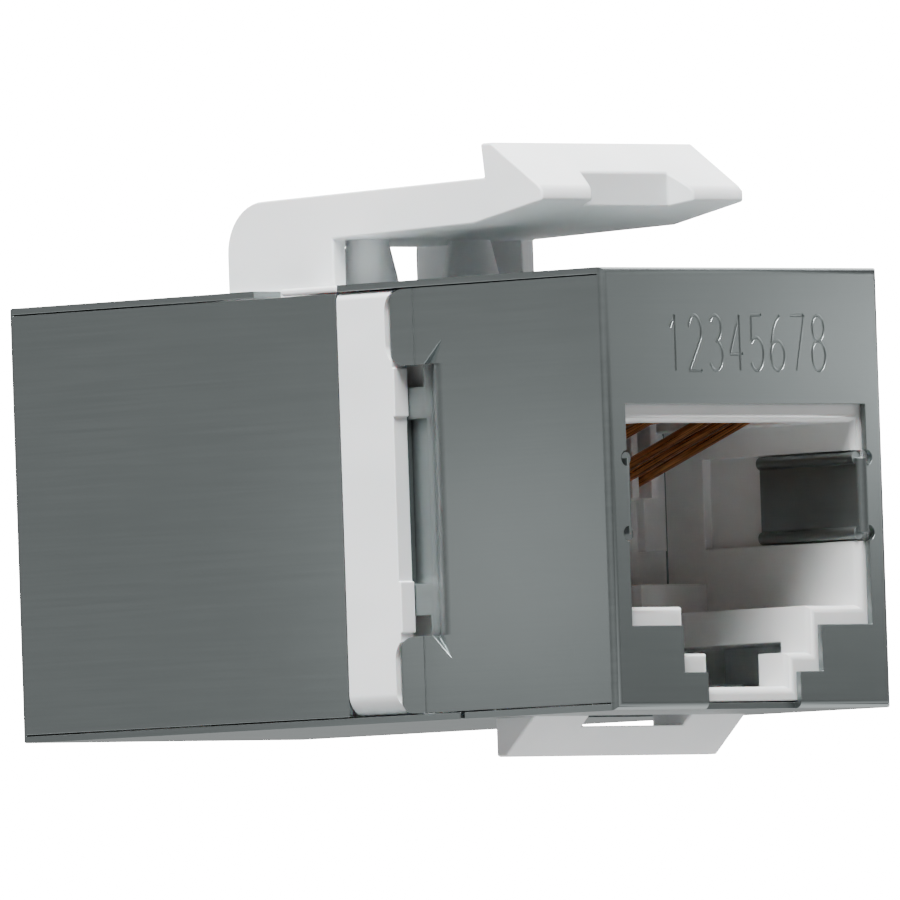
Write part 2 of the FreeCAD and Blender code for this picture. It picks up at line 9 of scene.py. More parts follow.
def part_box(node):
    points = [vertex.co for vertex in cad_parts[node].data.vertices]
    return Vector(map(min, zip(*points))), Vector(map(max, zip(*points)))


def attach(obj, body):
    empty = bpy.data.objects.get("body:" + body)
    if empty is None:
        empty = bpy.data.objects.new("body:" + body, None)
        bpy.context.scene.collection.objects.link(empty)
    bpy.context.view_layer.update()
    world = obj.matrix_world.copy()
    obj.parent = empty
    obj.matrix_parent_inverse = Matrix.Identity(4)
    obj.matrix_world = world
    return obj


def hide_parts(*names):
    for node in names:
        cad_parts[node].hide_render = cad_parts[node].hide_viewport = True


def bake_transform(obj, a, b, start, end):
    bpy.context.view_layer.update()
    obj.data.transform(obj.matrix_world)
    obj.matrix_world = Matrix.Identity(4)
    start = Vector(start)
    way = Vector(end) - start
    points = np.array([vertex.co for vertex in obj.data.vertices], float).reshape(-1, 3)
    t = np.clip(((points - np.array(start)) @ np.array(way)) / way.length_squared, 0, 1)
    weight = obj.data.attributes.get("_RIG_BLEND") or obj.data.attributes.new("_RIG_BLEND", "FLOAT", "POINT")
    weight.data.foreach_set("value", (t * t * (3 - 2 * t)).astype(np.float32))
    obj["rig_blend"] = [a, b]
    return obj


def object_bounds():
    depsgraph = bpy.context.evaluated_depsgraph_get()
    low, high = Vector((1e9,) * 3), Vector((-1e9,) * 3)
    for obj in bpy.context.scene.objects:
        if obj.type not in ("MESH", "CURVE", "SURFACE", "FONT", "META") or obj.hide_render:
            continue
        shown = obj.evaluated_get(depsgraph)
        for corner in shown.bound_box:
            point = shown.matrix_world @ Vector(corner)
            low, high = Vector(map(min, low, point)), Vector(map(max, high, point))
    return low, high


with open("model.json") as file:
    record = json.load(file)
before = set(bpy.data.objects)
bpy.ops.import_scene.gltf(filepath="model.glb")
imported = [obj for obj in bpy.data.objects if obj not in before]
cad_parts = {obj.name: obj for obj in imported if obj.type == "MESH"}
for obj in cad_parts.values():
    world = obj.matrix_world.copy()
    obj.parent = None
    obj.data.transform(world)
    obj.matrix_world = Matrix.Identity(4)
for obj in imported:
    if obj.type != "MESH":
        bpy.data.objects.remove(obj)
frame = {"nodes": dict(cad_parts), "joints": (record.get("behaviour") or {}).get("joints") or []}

# A feed-through keystone jack: two folded nickel shields round a white moulded clip,
# with a modular port at each end.  Everything is in metres, in the frame's own axes:
# +X right, +Y to the rear, +Z up, origin at the centre of the front face.

mm = 0.001
cadBounds = [list(corner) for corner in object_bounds()]
boxOf = {name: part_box(name) for name in frame["nodes"]}


# Shader helpers

def linearColour(hexText):
    # sRGB hex to linear light, opaque
    channels = [int(hexText[i:i + 2], 16) / 255 for i in (1, 3, 5)]
    return [c / 12.92 if c <= 0.04045 else ((c + 0.055) / 1.055) ** 2.4 for c in channels] + [1.0]


def addNode(tree, kind, inputs=None, **settings):
    # one node with its settings; an input given as a socket is linked, any other is its value
    node = tree.nodes.new(kind)
    for key, value in settings.items():
        setattr(node, key, value)
    for key, value in (inputs or {}).items():
        if isinstance(value, bpy.types.NodeSocket):
            tree.links.new(value, node.inputs[key])
        else:
            node.inputs[key].default_value = value
    return node


def newMaterial(name):
    # an empty node material, its tree and its texture coordinates
    material = bpy.data.materials.new(name)
    material.use_nodes = True
    tree = material.node_tree
    tree.nodes.clear()
    return material, tree, addNode(tree, "ShaderNodeTexCoord").outputs


def noiseAlong(tree, coordinates, cellsMm, detail=2.0):
    # noise whose cells measure cellsMm along x, y and z; returns its 0 to 1 value
    scale = [1 / (size * mm) for size in cellsMm]
    place = addNode(tree, "ShaderNodeMapping", {"Vector": coordinates["Object"], "Scale": scale})
    noise = addNode(tree, "ShaderNodeTexNoise",
                    {"Vector": place.outputs["Vector"], "Scale": 1.0, "Detail": detail})
    return noise.outputs["Fac"]


def spread(tree, value, low, high, darkest, lightest):
    # maps value from low..high to darkest..lightest, held at both ends
    ramp = addNode(tree, "ShaderNodeMapRange",
                   {"Value": value, "From Min": low, "From Max": high,
                    "To Min": darkest, "To Max": lightest})
    return ramp.outputs["Result"]


def blendColours(tree, factor, first, second):
    # from the first hex colour at 0 to the second at 1
    mix = addNode(tree, "ShaderNodeMix", data_type="RGBA")
    tree.links.new(factor, mix.inputs["Factor"])
    mix.inputs[6].default_value = linearColour(first)
    mix.inputs[7].default_value = linearColour(second)
    return mix.outputs[2]


def finishSurface(tree, inputs, height, distanceMm, strength=1.0):
    # principled surface with a fine relief of the given height in millimetres
    bump = addNode(tree, "ShaderNodeBump",
                   {"Height": height, "Distance": distanceMm * mm, "Strength": strength})
    surface = addNode(tree, "ShaderNodeBsdfPrincipled",
                      {**inputs, "Normal": bump.outputs["Normal"]})
    addNode(tree, "ShaderNodeOutputMaterial", {"Surface": surface.outputs["BSDF"]})


# Materials

nickelSettings = {
    "base": "#8D9494", "worn": "#909797",
    "roughness": (0.38, 0.42),
    "brushSpacing": 0.09,        # real brush lines are nearer 0.03 mm, drawn coarser to show
    "brushLength": 6.0,          # millimetres
    "cloudSize": 4.5,
    "relief": 0.00006,
    "levelFace": (0.6, 0.8),     # upward share of the normal where the lines turn
    "toneRange": (0.15, 0.4), "lineRange": (0.3, 0.7),      # the part of the noise that shows
}


def brushedNickelSheet(name, settings):
    # Nickel-plated brass strip, rolled and lightly brushed.  That gives soft, cool grey
    # reflections, broken by faint lines and slow cloudy changes.  The lines run level
    # round the walls, and along the body on top and below.
    material, tree, coordinates = newMaterial(name)
    fine, long = settings["brushSpacing"], settings["brushLength"]
    upright = noiseAlong(tree, coordinates, (long, long, fine))
    level = noiseAlong(tree, coordinates, (fine, long, long))
    facing = addNode(tree, "ShaderNodeSeparateXYZ", {"Vector": coordinates["Normal"]})
    tilt = addNode(tree, "ShaderNodeMath", {0: facing.outputs["Z"]}, operation="ABSOLUTE")
    lines = addNode(tree, "ShaderNodeMix",
                    {"Factor": spread(tree, tilt.outputs[0], *settings["levelFace"], 0, 1),
                     2: upright, 3: level})
    cloud = noiseAlong(tree, coordinates, (settings["cloudSize"],) * 3)
    tone = addNode(tree, "ShaderNodeMath", {0: lines.outputs[0], 1: cloud}, operation="MULTIPLY")
    colour = blendColours(tree, spread(tree, tone.outputs[0], *settings["toneRange"], 0, 1),
                          settings["base"], settings["worn"])
    rough = spread(tree, lines.outputs[0], *settings["lineRange"], *settings["roughness"])
    finishSurface(tree, {"Base Color": colour, "Metallic": 1.0, "Roughness": rough},
                  lines.outputs[0], settings["relief"])
    return material


mouldingSettings = {
    "grain": 0.12, "relief": 0.0015,                # millimetres, left by spark erosion
    "flow": (3.5, 7.0, 3.5),                        # millimetres
    "grainRange": (0.3, 0.7), "flowRange": (0.35, 0.65),
    "sheenSpread": 0.05,                            # of the roughness, either way
    "ior": 1.54,
    "lightLetIn": 0.08, "lightDepth": 0.6,          # share, and millimetres under the skin
}


def moulding(name, pale, deep, roughness, settings):
    # Injection-moulded polycarbonate blend.  That gives an even, slightly waxy white with
    # a soft satin sheen, a very fine spark-eroded grain and slow flow marks.
    material, tree, coordinates = newMaterial(name)
    grain = noiseAlong(tree, coordinates, (settings["grain"],) * 3, 3.0)
    flow = noiseAlong(tree, coordinates, settings["flow"])
    colour = blendColours(tree, spread(tree, flow, *settings["flowRange"], 0, 1), pale, deep)
    rough = spread(tree, grain, *settings["grainRange"],
                   roughness - settings["sheenSpread"], roughness + settings["sheenSpread"])
    finishSurface(tree, {"Base Color": colour, "Roughness": rough, "IOR": settings["ior"],
                         "Subsurface Weight": settings["lightLetIn"],
                         "Subsurface Scale": settings["lightDepth"] * mm},
                  grain, settings["relief"])
    return material


bronzeSettings = {
    "bright": "#E9A870", "dull": "#97552A",
    "roughness": (0.26, 0.36),
    "linesAround": 4.0, "lineLength": 2.5,          # length in millimetres
    "toneRange": (0.35, 0.7), "lineRange": (0.3, 0.7),
    "relief": 0.002,
}


def drawnBronzeWire(name, settings):
    # Phosphor bronze wire, drawn and left bare.  That gives a warm brown metal with thin
    # light lines along its length.
    material, tree, coordinates = newMaterial(name)
    place = addNode(tree, "ShaderNodeAttribute", attribute_name="wireLine").outputs["Vector"]
    around = settings["linesAround"]
    scaled = addNode(tree, "ShaderNodeMapping",
                     {"Vector": place, "Scale": (around, around, 1 / settings["lineLength"])})
    lines = addNode(tree, "ShaderNodeTexNoise",
                    {"Vector": scaled.outputs["Vector"], "Scale": 1.0, "Detail": 2.0})
    lines = lines.outputs["Fac"]
    colour = blendColours(tree, spread(tree, lines, *settings["toneRange"], 0, 1),
                          settings["dull"], settings["bright"])
    rough = spread(tree, lines, *settings["lineRange"], *settings["roughness"])
    finishSurface(tree, {"Base Color": colour, "Metallic": 1.0, "Roughness": rough},
                  lines, settings["relief"])
    return material


laminateSettings = {"mask": "#1F4A34", "lit": "#27573F", "roughness": 0.4, "ior": 1.5,
                    "weave": 0.5, "weaveRange": (0.4, 0.6), "relief": 0.004}


def glassLaminate(name, settings):
    # Glass-epoxy board under green solder mask.  That gives a dark satin green with the
    # weave of the cloth just showing through.
    material, tree, coordinates = newMaterial(name)
    weave = noiseAlong(tree, coordinates, (settings["weave"],) * 3, 1.0)
    colour = blendColours(tree, spread(tree, weave, *settings["weaveRange"], 0, 1),
                          settings["mask"], settings["lit"])
    finishSurface(tree, {"Base Color": colour, "Roughness": settings["roughness"],
                         "IOR": settings["ior"]}, weave, settings["relief"])
    return material


nickel = brushedNickelSheet("brushedNickelSheet", nickelSettings)
clipPlastic = moulding("clipMoulding", "#EEF0F1", "#E6E9EA", 0.36, mouldingSettings)
portPlastic = moulding("portMoulding", "#E9EAEA", "#DFE1E0", 0.42, mouldingSettings)
bronze = drawnBronzeWire("drawnBronzeWire", bronzeSettings)
laminate = glassLaminate("glassLaminate", laminateSettings)
print("materials:", len(bpy.data.materials))


# Copies of the solids, with their sheared and moulded edges eased

easing = {
    "turn": 50,                  # degrees; folds and rounds turn less from facet to facet
    "crease": (1, 2.5),          # degrees; a slight turn between wide flat faces stays crisp
    "creaseFace": 0.8,           # square millimetres that count as wide
    "runsOn": 40,                # degrees; an edge that turns less carries on the one before
    "flat": 0.3,                 # degrees; faces that turn less are one
    "segments": 2,
    "share": 0.45,               # of the room beside an edge that its round may take
    "noRoom": 0.002,             # mm; a face narrower than this isn't measured across
    "join": 0.01,                # mm; closer points are one
    "onPlane": 0.0001,           # mm; a point this near a cut lies on it
    "folded": 1e-5,              # mm2; a triangle larger than this may not face backwards
    "attempts": 8,
    "sheetEdge": 0.03, "clipEdge": 0.1, "portEdge": 0.05,    # millimetres
}


def linkPiece(name, data):
    # a new object in the scene for a mesh, lamp or camera
    piece = bpy.data.objects.new(name, data)
    bpy.context.scene.collection.objects.link(piece)
    return piece


def settled(piece):
    # the piece's own mesh with its modifiers worked in
    graph = bpy.context.evaluated_depsgraph_get()
    mesh = bpy.data.meshes.new_from_object(piece.evaluated_get(graph))
    piece.modifiers.clear()
    piece.data = mesh
    return piece


def joinPoints(work):
    # points that lie closer than the join become one
    bmesh.ops.remove_doubles(work, verts=work.verts, dist=easing["join"] * mm)


def wholeFaces(work):
    # triangles and strips that lie in one plane become one face
    bmesh.ops.dissolve_limit(work, angle_limit=math.radians(easing["flat"]),
                             verts=work.verts, edges=work.edges)


def mergedCopy(name, node):
    # a copy of the node's mesh with its triangles joined and its flat faces made whole
    mesh = bpy.data.meshes.new(name)
    work = bmesh.new()
    work.from_mesh(frame["nodes"][node].data)
    joinPoints(work)
    wholeFaces(work)
    work.to_mesh(mesh)
    work.free()
    return linkPiece(name, mesh)


def cutOut(piece, cutter):
    # takes the cutter's shape out of the piece; the cutter is used up
    boolean = piece.modifiers.new("cut", "BOOLEAN")
    boolean.object = cutter
    boolean.operation = "DIFFERENCE"
    boolean.solver = "EXACT"
    settled(piece)
    bpy.data.objects.remove(cutter)


def faceRoom(face, reach):
    # For each edge of a face, the widest strip that a round may take off it: a share of
    # the next edges' lengths over tan(half the corner's turn), and of the shortest way
    # across the face, square to the edge and up to reach beyond its ends.
    start = np.array([vert.co for vert in face.verts])
    ahead = np.roll(start, -1, axis=0) - start
    length = np.linalg.norm(ahead, axis=1)
    ahead /= length[:, None]
    turn = np.arccos(np.clip((ahead * np.roll(ahead, -1, axis=0)).sum(1), -1, 1))
    steepness = np.maximum(np.tan(turn / 2), 1e-3)       # never quite 0, to divide by
    corner = np.minimum(length, np.roll(length, -1)) / steepness
    # every corner's place along (u) and across (v) each edge, from the edge's middle
    place = start[None] - (start + ahead * length[:, None] / 2)[:, None]
    u = np.einsum("ijk,ik->ij", place, ahead)
    v = np.einsum("ijk,ik->ij", place, np.cross(np.array(face.normal), ahead))
    uNext, vNext = np.roll(u, -1, axis=1), np.roll(v, -1, axis=1)
    half = length[:, None] / 2 + reach
    span = np.where(np.abs(uNext - u) < 1e-9, 1e-9, uNext - u)
    near, far = np.sort(np.stack([(-half - u) / span, (half - u) / span]), axis=0)
    near, far = np.clip(near, 0, 1), np.clip(far, 0, 1)
    across = np.minimum(v + near * (vNext - v), v + far * (vNext - v))
    apart = np.abs(np.subtract.outer(np.arange(len(start)), np.arange(len(start))))
    beside = np.minimum(apart, len(start) - apart) < 2
    across[beside | (near >= far) | (across < easing["noRoom"] * mm)] = 1.0   # no limit
    corner = np.minimum(corner, np.roll(corner, 1))
    return easing["share"] * np.minimum(corner, across.min(axis=1))


def weighEdges(piece, edgeMm):
    # full weight to each edge sharper than the turn, and less where its faces are small,
    # so that no two rounds run into each other
    sharp = math.radians(easing["turn"])
    work = bmesh.new()
    work.from_mesh(piece.data)
    weight = work.edges.layers.float.new("bevel_weight_edge")
    for edge in work.edges:
        edge[weight] = 1.0 if edge.calc_face_angle(0) > sharp else 0.0
    for face in work.faces:
        for edge, room in zip(face.edges, faceRoom(face, edgeMm * mm)):
            edge[weight] = min(edge[weight], room / (edgeMm * mm))
    levelRuns(work, weight)
    work.to_mesh(piece.data)
    work.free()
    return piece


def levelRuns(work, weight):
    # edges that run on from each other, as round an arc, all take their smallest weight
    runsOn = math.cos(math.radians(easing["runsOn"]))
    pending = {edge for edge in work.edges if edge[weight] > 0}
    while pending:
        run = [pending.pop()]
        for edge in run:
            for vert in edge.verts:
                outward = (edge.other_vert(vert).co - vert.co).normalized()
                for other in vert.link_edges:
                    onward = (other.other_vert(vert).co - vert.co).normalized()
                    if other in pending and outward.dot(onward) < -runsOn:
                        pending.remove(other)
                        run.append(other)
        least = min(edge[weight] for edge in run)
        for edge in run:
            edge[weight] = least


def foldedFaces(mesh):
    # the faces whose triangles turn against them, where two rounds have run into each other
    mesh.calc_loop_triangles()
    corner = np.empty(len(mesh.loop_triangles) * 3, int)
    owner = np.empty(len(mesh.loop_triangles), int)
    point = np.empty(len(mesh.vertices) * 3)
    normal = np.empty(len(mesh.polygons) * 3)
    mesh.loop_triangles.foreach_get("vertices", corner)
    mesh.loop_triangles.foreach_get("polygon_index", owner)
    mesh.vertices.foreach_get("co", point)
    mesh.polygons.foreach_get("normal", normal)
    first, second, third = point.reshape(-1, 3)[corner.reshape(-1, 3)].transpose(1, 0, 2)
    square = np.cross(second - first, third - first)
    agrees = (square * normal.reshape(-1, 3)[owner]).sum(1)
    return np.unique(owner[agrees < -easing["folded"] * mm ** 2])


def halveRounds(mesh, faces):
    # half the weight to every edge of the faces
    work = bmesh.new()
    work.from_mesh(mesh)
    work.faces.ensure_lookup_table()
    weight = work.edges.layers.float["bevel_weight_edge"]
    for edge in {edge for index in faces for edge in work.faces[index].edges}:
        edge[weight] /= 2
    levelRuns(work, weight)
    work.to_mesh(mesh)
    work.free()


def roundEdges(piece, edgeMm):
    # Rounds the weighed edges; a cut made since has no weight and stays crisp.  The faces
    # are numbered, and where one comes out folded over, its rounds are halved.
    number = piece.data.attributes.new("sourceFace", "INT", "FACE")
    number.data.foreach_set("value", np.arange(len(piece.data.polygons)))
    bevel = piece.modifiers.new("easedEdges", "BEVEL")
    bevel.width = edgeMm * mm
    bevel.segments = easing["segments"]
    bevel.limit_method = "WEIGHT"
    bevel.use_clamp_overlap = False
    bevel.face_strength_mode = "FSTR_AFFECTED"
    for attempt in range(easing["attempts"]):
        graph = bpy.context.evaluated_depsgraph_get()
        mesh = bpy.data.meshes.new_from_object(piece.evaluated_get(graph))
        folded = foldedFaces(mesh)
        if not len(folded):
            break
        source = np.empty(len(mesh.polygons), int)
        mesh.attributes["sourceFace"].data.foreach_get("value", source)
        halveRounds(piece.data, np.unique(source[folded]))
        piece.data.update()
    piece.modifiers.clear()
    piece.data = mesh
    print("rounded:", piece.name, "in", attempt + 1, "tries,", len(folded), "faces folded")
    return piece


def smoothFolds(piece):
    # soft turns shade as one surface, with their flat neighbours kept flat; worked out in
    # millimetres, because in metres the areas of small faces would count for nothing
    work = bmesh.new()
    work.from_mesh(piece.data)
    bmesh.ops.scale(work, vec=(1 / mm,) * 3, verts=work.verts)
    for face in work.faces:
        face.smooth = True
    low, high = (math.radians(turn) for turn in easing["crease"])
    sharp = math.radians(easing["turn"])
    for edge in work.edges:
        turn = edge.calc_face_angle(0)
        wide = all(face.calc_area() > easing["creaseFace"] for face in edge.link_faces)
        edge.smooth = turn < sharp and not (wide and low < turn < high)
    work.to_mesh(piece.data)
    work.free()
    even = piece.modifiers.new("evenNormals", "WEIGHTED_NORMAL")
    even.keep_sharp = True
    even.use_face_influence = True
    settled(piece).data.transform(Matrix.Scale(mm, 4))
    return piece


def easeEdges(piece, edgeMm):
    # the whole treatment, for a piece that nothing is cut out of
    return smoothFolds(roundEdges(weighEdges(piece, edgeMm), edgeMm))


def finishPiece(piece, material, slot, *nodes):
    # paints the piece and lets it stand for the nodes
    piece.data.materials.clear()
    piece.data.materials.append(material)
    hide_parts(*nodes)
    return piece


def dressNode(node, material):
    # paints a solid that shows as it is
    for slot in frame["nodes"][node].material_slots:
        slot.material = material


# Shields and ground bridges

figureSettings = {
    "cell": (0.7, 2.05), "pitch": 1.08, "centre": (0.15, 5.35),     # millimetres
    "groove": 0.075, "rise": 0.03,       # the bar's radius, and how far before the face it lies
    "roundSteps": 8, "sweepSteps": 14, "ringSteps": 22,
}


def ringMesh(name, rings, closed=False):
    # tube through rings of points, joined up with itself or with one flat face at each end
    steps, around = rings.shape[:2]
    index = np.arange(steps * around).reshape(steps, around)
    beyond = np.roll(index, -1, axis=0) if closed else index[1:]
    here = index if closed else index[:-1]
    quads = np.stack([here, np.roll(here, -1, axis=1), np.roll(beyond, -1, axis=1), beyond], 2)
    ends = [] if closed else [index[0].tolist(), index[-1].tolist()]
    mesh = bpy.data.meshes.new(name)
    mesh.from_pydata(rings.reshape(-1, 3), [], quads.reshape(-1, 4).tolist() + ends)
    work = bmesh.new()
    work.from_mesh(mesh)
    bmesh.ops.recalc_face_normals(work, faces=work.faces)
    work.to_mesh(mesh)
    work.free()
    return mesh


def sweep(centre, size, first, last, steps=figureSettings["sweepSteps"]):
    # points along part of an oval, from one angle to the other in degrees
    angle = np.radians(np.linspace(first, last, steps))
    return np.stack([centre[0] + size[0] * np.cos(angle), centre[1] + size[1] * np.sin(angle)], 1)


def figureStrokes(ringSteps):
    # the lines of 1 to 8 in a cell one unit wide and one high; a line of ringSteps points
    # is a whole ring, and its two ends are joined later
    low, high = (0.5, 0.27), (0.5, 0.77)
    ring, cap = (0.5, 0.27), (0.43, 0.23)
    return [
        [[(0.2, 0.78), (0.55, 1)], [(0.55, 1), (0.55, 0)]],
        [np.concatenate([sweep((0.5, 0.7), (0.46, 0.3), 165, -25), [(0, 0)]]), [(0, 0), (1, 0)]],
        [sweep(high, cap, 150, -90), sweep(low, ring, 90, -150)],
        [[(0.75, 0), (0.75, 1)], [(0.75, 1), (0, 0.3)], [(0, 0.3), (1, 0.3)]],
        [[(0.9, 1), (0.12, 1)], [(0.12, 1), (0.08, 0.5)],
         sweep((0.48, 0.3), (0.5, 0.3), 140, -150)],
        [sweep(low, ring, 0, 340, ringSteps), sweep((0.9, 0.27), (0.9, 0.73), 180, 100)],
        [[(0, 1), (1, 1)], [(1, 1), (0.35, 0)]],
        [sweep(low, ring, 0, 342, ringSteps), sweep(high, cap, 0, 342, ringSteps)],
    ]


def barRound(radius, steps):
    # a circle's two coordinates, for a thin round bar
    angle = np.linspace(0, 2 * math.pi, steps, endpoint=False)
    return radius * np.cos(angle), radius * np.sin(angle)


def grooveCutter(stroke, column, settings):
    # a circle carried along one stroke, whose middle lies just before the front face
    line = (np.array(stroke) - 0.5) * settings["cell"] + (column, settings["centre"][1])
    closed = len(line) == settings["ringSteps"]
    if closed:
        ahead = np.roll(line, -1, axis=0) - np.roll(line, 1, axis=0)
    else:
        ahead = np.gradient(line, axis=0)
    ahead /= np.linalg.norm(ahead, axis=1)[:, None]
    side, out = barRound(settings["groove"], settings["roundSteps"])
    x = line[:, :1] - ahead[:, 1:] * side
    z = line[:, 1:] + ahead[:, :1] * side
    rings = np.stack([x, np.broadcast_to(out - settings["rise"], x.shape), z], 2) * mm
    return linkPiece("groove", ringMesh("groove", rings, closed))


def cutFigures(sheet, settings):
    # the contacts' numbers, 1 to 8, in one row on the front face
    strokes = figureStrokes(settings["ringSteps"])
    for place, figure in enumerate(strokes):
        column = (place - (len(strokes) - 1) / 2) * settings["pitch"] + settings["centre"][0]
        for stroke in figure:
            cutOut(sheet, grooveCutter(stroke, column, settings))


creaseSettings = {
    "x": 7.22, "y": 9.95, "z": (4.97, 7.87),     # millimetres
    "groove": 0.06, "rise": 0.03, "roundSteps": 8,
}


def cutCreases(sheet, settings):
    # the fine press line across each corner tab: a circle carried straight up, for each
    across, along = barRound(settings["groove"], settings["roundSteps"])
    for side in (-1, 1):
        for end in (-1, 1):
            x = side * (settings["x"] + settings["rise"]) + across
            y = settings["y"] + along
            rings = [np.stack([x, y, np.full_like(x, end * z)], 1) for z in settings["z"]]
            bar = ringMesh("crease", np.stack(rings) * mm)
            cutOut(sheet, linkPiece("crease", bar))


for node in ("front_shield", "rear_shield", "left_ground_bridge", "right_ground_bridge"):
    sheet = weighEdges(mergedCopy("eased_" + node, node), easing["sheetEdge"])
    if node == "front_shield":
        cutFigures(sheet, figureSettings)
        cutCreases(sheet, creaseSettings)
    smoothFolds(roundEdges(sheet, easing["sheetEdge"]))
    slot = "nickel_plated_sheet" if "shield" in node else "spring_sheet"
    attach(finishPiece(sheet, nickel, slot, node), "root")


# Clip: the band, tongue and hook in one piece, the legs and latch arm in another

latchSettings = {                                # in millimetres, but for the cuts
    "foot": 0.25,                                # how far the legs reach down into the tongue
    "seatRear": 1.0, "seatFront": 0.4, "slab": 0.9,      # opened round the joint's seat
    "bendRear": 0.65, "bendFront": 1.2,          # the stretch that flexes, either side of the joint
    "bendCuts": 12,
    "snug": 0.001,                               # points nearer than this are level
}
jointPlace = {joint["name"]: Vector(joint["pos_m"]) for joint in frame["joints"]}


def everything(work):
    # what a cut right through takes in
    return work.verts[:] + work.edges[:] + work.faces[:]


def cutAtHeight(piece, height, keepUpper):
    # keeps the part above or below a level cut, and closes it there
    work = bmesh.new()
    work.from_mesh(piece.data)
    cut = bmesh.ops.bisect_plane(work, geom=everything(work), dist=easing["onPlane"] * mm,
                                 plane_co=(0, 0, height), plane_no=(0, 0, 1),
                                 clear_inner=keepUpper, clear_outer=not keepUpper)
    rim = [part for part in cut["geom_cut"] if isinstance(part, bmesh.types.BMEdge)]
    bmesh.ops.edgenet_fill(work, edges=rim)
    joinPoints(work)
    bmesh.ops.recalc_face_normals(work, faces=work.faces)
    wholeFaces(work)
    work.to_mesh(piece.data)
    work.free()
    return piece


def sinkFeet(piece, height):
    # the feet of the legs and posts reach a little way down into the tongue, so that no
    # round shows there
    flat = np.empty(len(piece.data.vertices) * 3)
    piece.data.vertices.foreach_get("co", flat)
    z = flat.reshape(-1, 3)[:, 2]
    z[z < height + latchSettings["snug"] * mm] -= latchSettings["foot"] * mm
    piece.data.vertices.foreach_set("co", flat)
    return piece


def openSlab(work, y, jointSide, above):
    # takes the slab's end off at y, on the joint's side of it, and leaves it open there
    def beyond(vert):
        return (vert.co.y - y) * jointSide > latchSettings["snug"] * mm and vert.co.z > above
    faces = [face for face in work.faces if any(beyond(vert) for vert in face.verts)]
    edges = {edge for face in faces for edge in face.edges}
    verts = {vert for face in faces for vert in face.verts}
    bmesh.ops.bisect_plane(work, geom=[*faces, *edges, *verts], dist=easing["onPlane"] * mm,
                           plane_co=(0, y, 0), plane_no=(0, 1, 0))
    bmesh.ops.delete(work, geom=[vert for vert in work.verts if beyond(vert)], context="VERTS")


def wholeLatch(legs, arm):
    # legs and arm as the one moulding that they are: both are opened either side of the
    # joint's round seat, and the slab is carried across
    seat = jointPlace["latch_flex"]
    under = boxOf["latch_arm"][0].z
    work = bmesh.new()
    work.from_mesh(legs.data)
    openSlab(work, seat.y + latchSettings["seatRear"] * mm, -1, seat.z - latchSettings["slab"] * mm)
    legs.data.clear_geometry()
    work.to_mesh(legs.data)
    work.clear()
    work.from_mesh(arm.data)
    openSlab(work, seat.y - latchSettings["seatFront"] * mm, 1, under)
    work.from_mesh(legs.data)
    rim = [edge for edge in work.edges if len(edge.link_faces) == 1]
    bmesh.ops.bridge_loops(work, edges=rim)
    bmesh.ops.recalc_face_normals(work, faces=work.faces)
    wholeFaces(work)
    work.to_mesh(legs.data)
    work.free()
    bpy.data.objects.remove(arm)
    return legs


def cutAcross(piece, places):
    # extra edge loops at the given y places, so that the moulding can bend there
    work = bmesh.new()
    work.from_mesh(piece.data)
    for y in places:
        bmesh.ops.bisect_plane(work, geom=everything(work), dist=easing["onPlane"] * mm,
                               plane_co=(0, y, 0), plane_no=(0, 1, 0))
    work.to_mesh(piece.data)
    work.free()
    return piece


snug = latchSettings["snug"] * mm
tongueTop = boxOf["front_shield"][1].z + snug
clip = cutAtHeight(mergedCopy("clip_band", "clip_frame"), tongueTop - 2 * snug, False)
easeEdges(clip, easing["clipEdge"])
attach(finishPiece(clip, clipPlastic, "white_moulding", "clip_frame"), "root")

upper = cutAtHeight(mergedCopy("latch_moulding", "clip_frame"), tongueTop, True)
latch = wholeLatch(sinkFeet(upper, tongueTop), mergedCopy("arm", "latch_arm"))
flexY = jointPlace["latch_flex"].y
flexFrom = flexY + latchSettings["bendRear"] * mm
flexTo = flexY - latchSettings["bendFront"] * mm
cutAcross(latch, np.linspace(flexFrom, flexTo, latchSettings["bendCuts"]))
easeEdges(latch, easing["clipEdge"])
finishPiece(latch, clipPlastic, "white_moulding", "latch_arm")
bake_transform(latch, "root", "latch", start=(0, flexFrom, 0), end=(0, flexTo, 0))


# Port mouldings and the board

for node in ("front_jack_housing", "rear_jack_housing",
             "front_contact_carrier", "rear_contact_carrier"):
    block = easeEdges(mergedCopy("eased_" + node, node), easing["portEdge"])
    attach(finishPiece(block, portPlastic, "port_moulding", node), "root")
dressNode("circuit_board", laminate)

roomSettings = {"side": (6.72, 6.92), "depth": (1.95, 8.15), "height": (-7.85, -5.66)}    # mm


def roomWall(name, side, rear, settings):
    # thin wall beside the room for a plug's lever: a rectangle carried straight back
    near, far = (side * x for x in settings["side"])
    low, high = settings["height"]
    rings = np.array([[(near, depth, low), (far, depth, low), (far, depth, high),
                       (near, depth, high)] for depth in settings["depth"]]) * mm
    if rear:                                     # mirrored end for end
        rings[:, :, 1] = cadBounds[1][1] - rings[:, :, 1]
    return linkPiece(name, ringMesh(name, rings))


for port in ("front", "rear"):
    for side, hand in ((-1, "left"), (1, "right")):
        wall = roomWall(port + "_room_wall_" + hand, side, port == "rear", roomSettings)
        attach(finishPiece(wall, portPlastic, "port_moulding"), "root")


# Contact wires: one round wire each, from the board round its bend in the port to its tip

wireSettings = {
    "across": 0.42,              # millimetres
    "tipEnd": 0.02,              # share of the radius that is left at the very tip
    "flexHalf": 0.2,             # mm; half the height over which the bend flexes
    "lineStep": 3,               # mm; each wire takes its own part of the pattern
    "roundSteps": 14, "bendSteps": 20, "tipSteps": 6,
}


